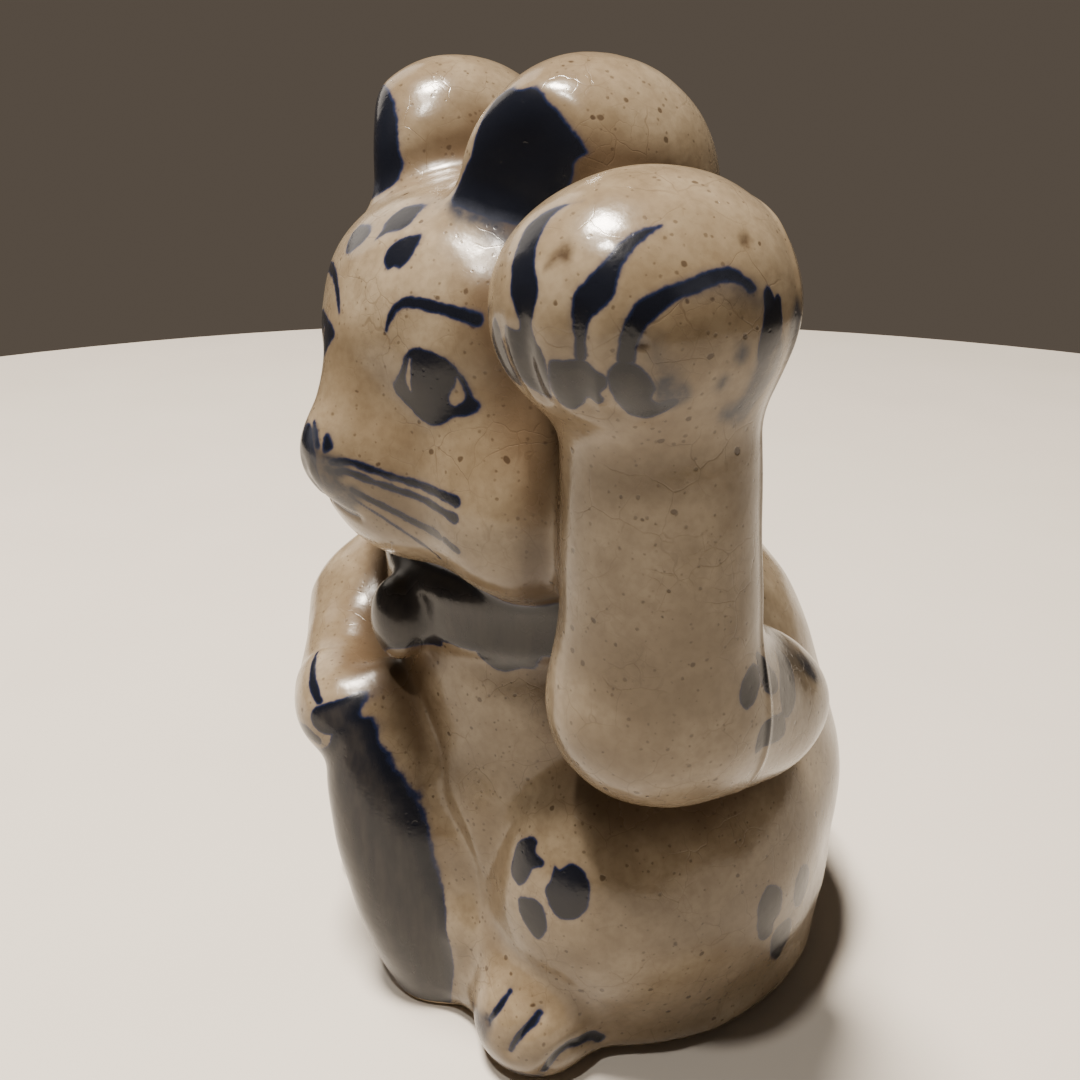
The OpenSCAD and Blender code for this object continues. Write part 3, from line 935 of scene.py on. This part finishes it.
class Graph:
    """A node material under construction. Lengths that its nodes work with are in millimetres."""

    def __init__(self, name):
        self.material = bpy.data.materials.new(name)
        self.material.use_nodes = True
        self.tree = self.material.node_tree
        self.shader = self.tree.nodes["Principled BSDF"]
        place = self.tree.nodes.new("ShaderNodeTexCoord").outputs["Object"]
        scale = self.tree.nodes.new("ShaderNodeVectorMath")
        scale.operation = "SCALE"
        self.tree.links.new(place, scale.inputs[0])
        scale.inputs["Scale"].default_value = 1 / MM
        self.place = scale.outputs[0]

    def put(self, socket, value):
        if isinstance(value, bpy.types.NodeSocket):
            self.tree.links.new(value, socket)
        elif value is not None:
            socket.default_value = value

    def math(self, operation, a, b=None, c=None):
        node = self.tree.nodes.new("ShaderNodeMath")
        node.operation = operation
        for socket, value in zip(node.inputs, (a, b, c)):
            self.put(socket, value)
        return node.outputs[0]

    def smooth(self, value, start, end):
        """0 where the value is at start, 1 where it's at end, whichever is larger."""
        node = self.tree.nodes.new("ShaderNodeMapRange")
        node.interpolation_type = "SMOOTHSTEP"
        self.put(node.inputs["Value"], value)
        swapped = start > end
        node.inputs["From Min"].default_value = min(start, end)
        node.inputs["From Max"].default_value = max(start, end)
        node.inputs["To Min"].default_value = 1 if swapped else 0
        node.inputs["To Max"].default_value = 0 if swapped else 1
        return node.outputs["Result"]

    def shifted(self, amount, stretch=(1, 1, 1)):
        """The place, moved by an amount and stretched, as texture coordinates."""
        node = self.tree.nodes.new("ShaderNodeMapping")
        self.put(node.inputs["Vector"], self.place)
        node.inputs["Location"].default_value = (amount, amount * 0.7, -amount)
        node.inputs["Scale"].default_value = stretch
        return node.outputs[0]

    def noise(self, size, detail=2.0, shift=0.0, stretch=(1, 1, 1), output="Fac"):
        node = self.tree.nodes.new("ShaderNodeTexNoise")
        self.put(node.inputs["Vector"], self.shifted(shift, stretch))
        node.inputs["Scale"].default_value = 1 / size
        node.inputs["Detail"].default_value = detail
        return node.outputs[output]

    def warped(self, size, amount, shift=0.0):
        """The place, pushed about by noise of that size."""
        wave = self.tree.nodes.new("ShaderNodeVectorMath")
        wave.operation = "MULTIPLY_ADD"
        self.put(wave.inputs[0], self.noise(size, 2.0, shift, output="Color"))
        wave.inputs[1].default_value = (amount, amount, amount)
        self.put(wave.inputs[2], self.place)
        return wave.outputs[0]

    def cells(self, size, vector, feature="F1"):
        node = self.tree.nodes.new("ShaderNodeTexVoronoi")
        node.feature = feature
        self.put(node.inputs["Vector"], vector)
        node.inputs["Scale"].default_value = 1 / size
        return node

    def fact(self, name):
        node = self.tree.nodes.new("ShaderNodeAttribute")
        node.attribute_name = name
        return node.outputs["Fac"]

    def mix(self, share, a, b, how="MIX"):
        node = self.tree.nodes.new("ShaderNodeMix")
        node.data_type = "RGBA"
        node.blend_type = how
        for socket, value in ((node.inputs[0], share), (node.inputs[6], a), (node.inputs[7], b)):
            self.put(socket, (*value, 1) if isinstance(value, tuple) else value)
        return node.outputs[2]

    def bump(self, height, normal=None):
        """Height in millimetres."""
        node = self.tree.nodes.new("ShaderNodeBump")
        self.put(node.inputs["Height"], height)
        node.inputs["Distance"].default_value = MM
        self.put(node.inputs["Normal"], normal)
        return node.outputs[0]


def cracks(g, size, width, shift):
    """Lines of crazing, 1 on a line: the edges of cells of that size."""
    cell = g.cells(size, g.warped(size * 0.8, size * 0.55, shift), "DISTANCE_TO_EDGE")
    return g.smooth(cell.outputs["Distance"], width / size, width * 0.3 / size)


def specks(g, size, radius, share, shift):
    """Round specks: cells of that size, a share of which hold a speck of up to that radius."""
    cell = g.cells(size, g.warped(size * 0.6, size * 0.3, shift))
    parts = g.tree.nodes.new("ShaderNodeSeparateColor")
    g.put(parts.inputs[0], cell.outputs["Color"])
    held = g.math("LESS_THAN", parts.outputs[0], share)
    limit = g.math("MULTIPLY", parts.outputs[1], radius / size)
    inside = g.math("SUBTRACT", limit, cell.outputs["Distance"])
    return g.math("MULTIPLY", held, g.smooth(inside, -0.06 / size, 0.16 / size))


CREAM = (0.215, 0.174, 0.120)
TAN = (0.122, 0.091, 0.056)
UMBER = (0.060, 0.038, 0.021)
IRON = (0.030, 0.018, 0.010)
NAVY = (0.008, 0.013, 0.040)
INK = (0.004, 0.005, 0.009)
SLATE = (0.020, 0.023, 0.033)
SMOKE = (0.030, 0.027, 0.025)
RAW_CLAY = (0.30, 0.225, 0.145)


def glaze(name):
    """Crackled stoneware glaze over brushed cobalt."""
    g = Graph(name)
    # The clear glaze: warm blotches, brown where it pools and painted shade in creases, hollows and between
    # parts, crazed and speckled.
    blotch = g.smooth(g.noise(15, 3.0, 3.0), 0.36, 0.66)
    cloud = g.smooth(g.noise(5.0, 4.0, 17.0), 0.36, 0.68)
    grain = g.smooth(g.noise(1.2, 4.0, 11.0), 0.35, 0.72)
    colour = g.mix(g.math("MULTIPLY", blotch, 0.80), CREAM, TAN)
    colour = g.mix(g.math("MULTIPLY", cloud, 0.45), colour, TAN)
    colour = g.mix(g.math("MULTIPLY", grain, 0.22), colour, UMBER)
    # Umber where glaze pools in creases, and painted shade in wider hollows and between parts.
    pooled_and_shaded = g.math("ADD", g.fact("pool_and_shade"), g.math("MULTIPLY", g.noise(5.0, 3.0, 19.0), 0.25))
    colour = g.mix(g.math("MULTIPLY", g.smooth(pooled_and_shaded, 0.14, 0.66), 0.85), colour, UMBER)
    wide, fine = cracks(g, 5.6, 0.11, 5.0), cracks(g, 2.3, 0.07, 27.0)
    fine = g.math("MULTIPLY", fine, g.smooth(g.noise(14, 1.0, 40.0), 0.42, 0.62))
    craze = g.math("MAXIMUM", wide, g.math("MULTIPLY", fine, 0.6))
    craze = g.math("MULTIPLY", craze, g.smooth(g.noise(9, 2.0, 52.0), 0.36, 0.66))
    colour = g.mix(g.math("MULTIPLY", craze, 0.30), colour, UMBER)
    dots = g.math("MULTIPLY", specks(g, 0.9, 0.32, 0.50, 1.0), 0.60)
    dots = g.math("MAXIMUM", dots, g.math("MULTIPLY", specks(g, 2.2, 0.50, 0.45, 9.0), 0.85))
    dots = g.math("MAXIMUM", dots, specks(g, 7.0, 0.80, 0.30, 15.0))
    colour = g.mix(g.math("MULTIPLY", dots, 0.85), colour, IRON)
    blots = g.math("MULTIPLY", g.fact("stain"), g.smooth(g.noise(1.6, 3.0, 33.0), 0.15, 0.55))
    colour = g.mix(blots, colour, IRON)
    # The cobalt: uneven edges, blue where it's thin, nearly black where it's thick.
    wander = g.math("MULTIPLY_ADD", g.noise(2.4, 2.0, 7.0), 0.70, -0.35)
    wander = g.math("MULTIPLY_ADD", g.noise(0.7, 2.0, 8.0), 0.24, wander)
    edge = g.math("ADD", g.fact("cobalt"), g.math("SUBTRACT", wander, 0.12))
    halo = g.smooth(edge, 0.60, -0.1)
    painted = g.smooth(edge, 0.16, -0.16)
    thick = g.smooth(edge, 0.02, -0.45)
    colour = g.mix(g.math("MULTIPLY", halo, 0.24), colour, NAVY)
    streak = g.noise(1.7, 3.0, 13.0, (1.0, 1.0, 0.25))
    haze = g.math("MULTIPLY", g.fact("film"), g.smooth(edge, -0.5, -1.9))
    haze = g.math("MULTIPLY", haze, g.math("MULTIPLY_ADD", g.smooth(streak, 0.25, 0.80), 0.6, 0.3))
    pigment = g.mix(thick, NAVY, INK)
    pigment = g.mix(g.math("MULTIPLY", haze, 0.8), pigment, SMOKE)
    colour = g.mix(painted, colour, pigment)
    # Slate where the glaze is washed grey, and painted shade along the underside of the feet.
    washed_and_shaded = g.math("MULTIPLY_ADD", g.smooth(g.noise(2.0, 3.0, 31.0), 0.25, 0.65), 0.38, 0.58)
    washed_and_shaded = g.math("MULTIPLY", g.fact("wash_and_shade"), washed_and_shaded)
    colour = g.mix(washed_and_shaded, colour, SLATE)
    # The foot ring is wiped bare.
    ragged = g.math("MULTIPLY_ADD", g.noise(3.0, 2.0, 2.0), 0.8, -0.4)
    bare = g.smooth(g.math("ADD", g.fact("bare"), ragged), 0.4, 0.6)
    colour = g.mix(bare, colour, RAW_CLAY)
    g.put(g.shader.inputs["Base Color"], colour)
    # Gloss: wavy like poured glaze, with pits and slightly open cracks.
    gloss = g.math("MULTIPLY_ADD", g.noise(4.0, 3.0, 61.0), 0.16, 0.11)
    gloss = g.math("ADD", gloss, g.math("MULTIPLY", g.fact("pool_and_shade"), 0.15))
    gloss = g.math("MAXIMUM", gloss, g.math("MULTIPLY", bare, 0.85))
    g.put(g.shader.inputs["Roughness"], gloss)
    g.shader.inputs["Specular IOR Level"].default_value = 0.38
    g.shader.inputs["IOR"].default_value = 1.5
    waves = g.math("MULTIPLY", g.noise(6.0, 2.0, 71.0), 0.12)
    waves = g.math("MULTIPLY_ADD", g.noise(1.7, 2.0, 77.0), 0.030, waves)
    waves = g.math("MULTIPLY_ADD", g.noise(0.6, 2.0, 79.0), 0.007, waves)
    open_cracks = g.math("MULTIPLY", craze, g.math("SUBTRACT", 1.0, painted))
    waves = g.math("MULTIPLY_ADD", open_cracks, -0.014, waves)
    waves = g.math("MULTIPLY_ADD", dots, -0.02, waves)
    waves = g.math("MULTIPLY_ADD", g.math("MULTIPLY", bare, g.noise(0.5, 2.0, 4.0)), 0.08, waves)
    g.put(g.shader.inputs["Normal"], g.bump(waves))
    return g.material


def unglazed(name):
    """Bare fired clay: matt, sandy, with a few dark specks."""
    g = Graph(name)
    grain = g.smooth(g.noise(0.7, 3.0, 5.0), 0.35, 0.70)
    blotch = g.smooth(g.noise(9.0, 3.0, 15.0), 0.35, 0.65)
    colour = g.mix(g.math("MULTIPLY", grain, 0.5), RAW_CLAY, CREAM)
    colour = g.mix(g.math("MULTIPLY", blotch, 0.4), colour, TAN)
    colour = g.mix(g.math("MULTIPLY", specks(g, 2.0, 0.3, 0.3, 8.0), 0.7), colour, IRON)
    g.put(g.shader.inputs["Base Color"], colour)
    g.shader.inputs["Roughness"].default_value = 0.88
    g.put(g.shader.inputs["Normal"], g.bump(g.math("MULTIPLY", g.noise(0.5, 3.0, 25.0), 0.12)))
    return g.material


CRACKLE, COBALT, CLAY = glaze("crackle_glaze"), glaze("cobalt_glaze"), unglazed("bare_clay")

print("making the pieces")
for name, patch in patches.items():
    painted_over = name in ("koban", "collar", "bell")
    piece = shell("glazed_" + name, patch, THIN.get(name, SKIN_WALL), COBALT if painted_over else CRACKLE)
    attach(piece, "root")
    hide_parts(name)
    print(piece.name, len(piece.data.polygons), "faces")

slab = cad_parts["base_slab"]
slab.data.materials.clear()
slab.data.materials.append(CLAY)

# ---- floor, light and camera ----


def area_light(name, place, target, size, power, colour):
    light = bpy.data.lights.new(name, "AREA")
    light.shape = "DISK"
    light.size = size
    light.energy = power
    light.color = colour
    lamp = bpy.data.objects.new(name, light)
    lamp.location = place
    lamp.rotation_euler = (Vector(target) - Vector(place)).to_track_quat("-Z", "Y").to_euler()
    bpy.context.collection.objects.link(lamp)


FLOOR_RADIUS = 0.55
floor_mesh = bpy.data.meshes.new("floor")
turns = np.radians(np.arange(0, 360, 3))
rim = [(FLOOR_RADIUS * math.cos(t), FLOOR_RADIUS * math.sin(t), 0) for t in turns]
floor_mesh.from_pydata(rim, [], [tuple(range(len(rim)))])
floor = bpy.data.objects.new("floor", floor_mesh)
bpy.context.collection.objects.link(floor)
pale = Graph("pale_floor")
cloudy = pale.mix(pale.noise(60, 2.0), (0.46, 0.430, 0.390), (0.51, 0.48, 0.44))
pale.put(pale.shader.inputs["Base Color"], cloudy)
pale.shader.inputs["Roughness"].default_value = 0.6
floor_mesh.materials.append(pale.material)

MIDDLE = (0.0, -0.01, 0.08)
area_light("key", (-0.05, -0.20, 1.15), MIDDLE, 0.24, 54.0, (1.0, 0.89, 0.76))
area_light("spark", (0.22, -0.36, 1.0), MIDDLE, 0.05, 5.5, (1.0, 0.92, 0.82))
area_light("side", (-1.0, -0.1, 0.7), MIDDLE, 0.8, 2.5, (1.0, 0.90, 0.78))

world = bpy.data.worlds.new("studio")
world.use_nodes = True
world.node_tree.nodes["Background"].inputs["Color"].default_value = (1.0, 0.80, 0.62, 1)
world.node_tree.nodes["Background"].inputs["Strength"].default_value = 0.10
bpy.context.scene.world = world

camera_data = bpy.data.cameras.new("camera")
camera_data.lens = 38.97
camera_data.sensor_width = 36
camera_data.clip_start = 0.005
camera = bpy.data.objects.new("camera", camera_data)
camera.location = (0.1531, -0.1033, 0.14775)
camera.rotation_euler = (math.radians(68.1), 0, math.radians(58.3))
bpy.context.collection.objects.link(camera)
bpy.context.scene.camera = camera

bpy.context.view_layer.update()
